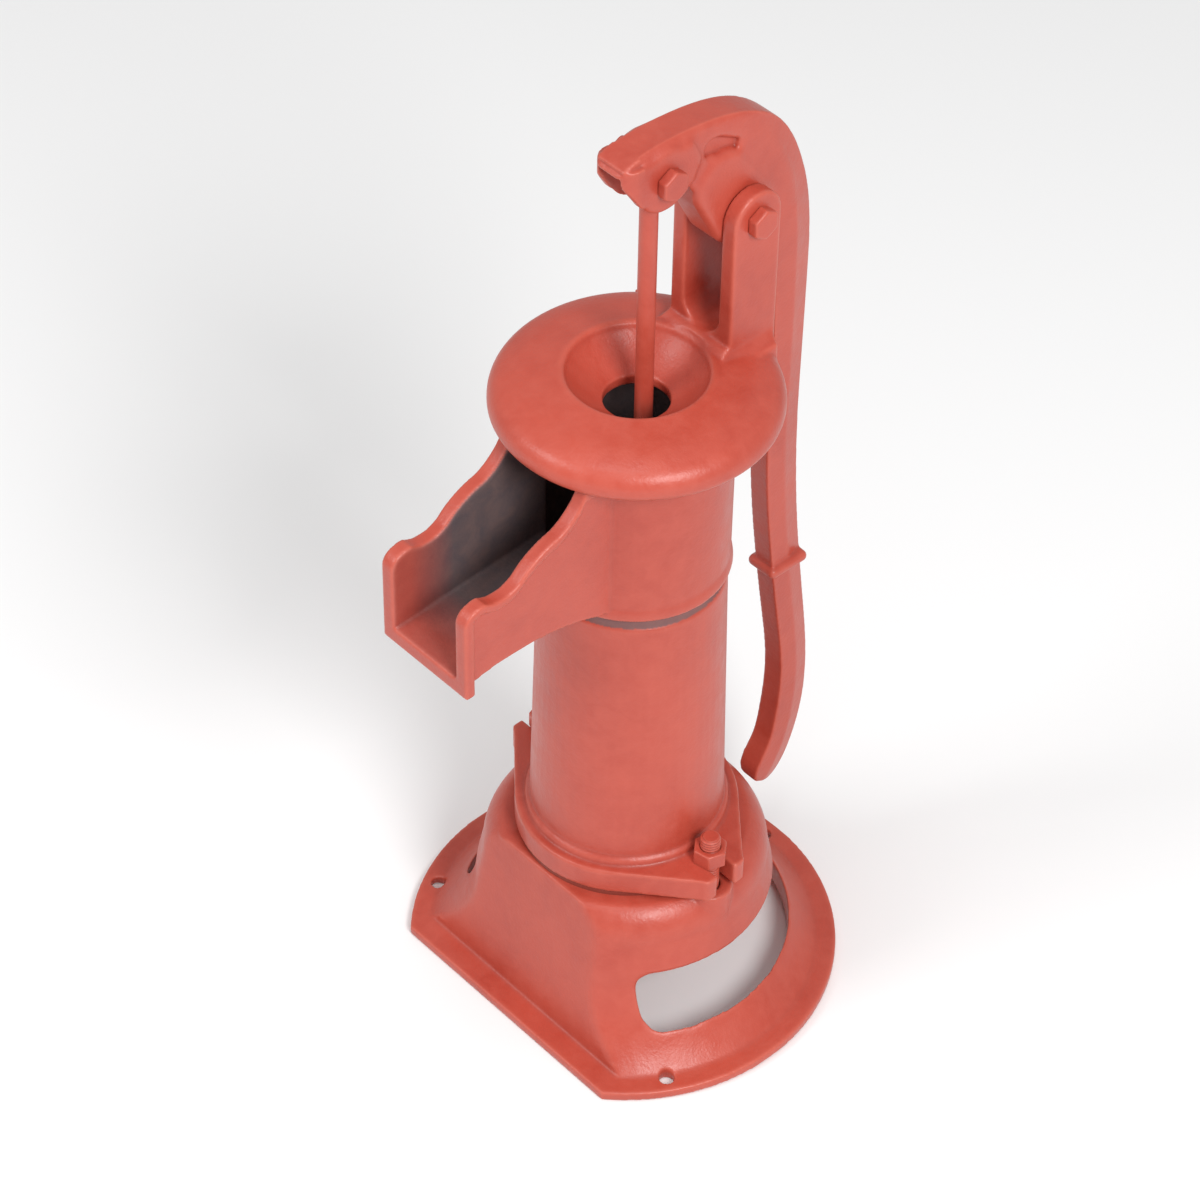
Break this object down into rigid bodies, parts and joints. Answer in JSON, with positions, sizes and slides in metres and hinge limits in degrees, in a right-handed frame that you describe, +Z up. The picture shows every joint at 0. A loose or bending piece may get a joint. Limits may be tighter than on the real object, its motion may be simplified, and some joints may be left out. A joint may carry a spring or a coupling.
{
  "type": "hand well pump",
  "caption": "Cast-iron pitcher pump: flared slotted base, barrel with an open spout, revolving top, and a hooked lever that works a leather-cupped plunger.",
  "frame": {"origin": "on the pump's axis, in the plane that its foot stands on", "axes": "+Z up along the barrel, -Y towards the spout's mouth, +Y towards the lever, +X through one flange bolt"},
  "size_m": [0.203, 0.2301, 0.4715],
  "materials": {
    "red_paint": "semi-matte orange-red enamel over rough cast iron",
    "bare_iron": "bare grey casting, machined where it fits",
    "plain_steel": "plain bright steel",
    "brass": "turned",
    "leather": "oiled tan leather"
  },
  "bodies": {
    "pump": {"base": "red_paint", "cylinder": "red_paint", "foot_valve_gasket": "leather", "flange_bolts": "red_paint", "flange_nuts": "red_paint"},
    "top": {"cap": "red_paint", "cap_set_screw": "red_paint", "fulcrum_bolt": "red_paint", "fulcrum_bolt_nut": "red_paint"},
    "handle": {"lever": "red_paint", "rod_bolt": "red_paint", "rod_bolt_nut": "red_paint"},
    "rod": {"plunger_rod": "red_paint", "rod_end_washers": "plain_steel", "rod_end_nuts": "plain_steel"},
    "plunger": {"plunger_cage": "bare_iron", "plunger_cup": "leather", "plunger_follower": "bare_iron"},
    "poppet": {"plunger_valve": "brass"},
    "clack": {"foot_valve_flap": "leather", "foot_valve_weight": "bare_iron", "foot_valve_bolt": "plain_steel", "foot_valve_nut": "plain_steel"}
  },
  "joints": [
    {"name": "top_swivel", "type": "hinge", "parent": "pump", "child": "top", "pos_m": [0, 0, 0.336], "axis": [0, 0, 1], "range_deg": [-140, 140]},
    {"name": "lever_hinge", "type": "hinge", "parent": "top", "child": "handle", "pos_m": [0, 0.0485, 0.417], "axis": [1, 0, 0], "range_deg": [0, 75]},
    {"name": "rod_hinge", "type": "hinge", "parent": "handle", "child": "rod", "pos_m": [0, 0.00407, 0.45428], "axis": [1, 0, 0], "range_deg": [-75.5, 0.5]},
    {"name": "plunger_slide", "type": "slide", "parent": "top", "child": "plunger", "axis": [0, 0, -1], "range_m": [-0.0003, 0.0706]},
    {"name": "poppet_lift", "type": "slide", "parent": "plunger", "child": "poppet", "axis": [0, 0, 1], "range_m": [0, 0.006]},
    {"name": "clack_hinge", "type": "hinge", "parent": "pump", "child": "clack", "pos_m": [0, 0.0262, 0.0868], "axis": [-1, 0, 0], "range_deg": [0, 20]}
  ],
  "couplings": [
    {"joint": "rod_hinge", "follows": "lever_hinge", "ratio": -1},
    {"joint": "plunger_slide", "follows": "lever_hinge", "m_per_rad": 0.0535}
  ]
}
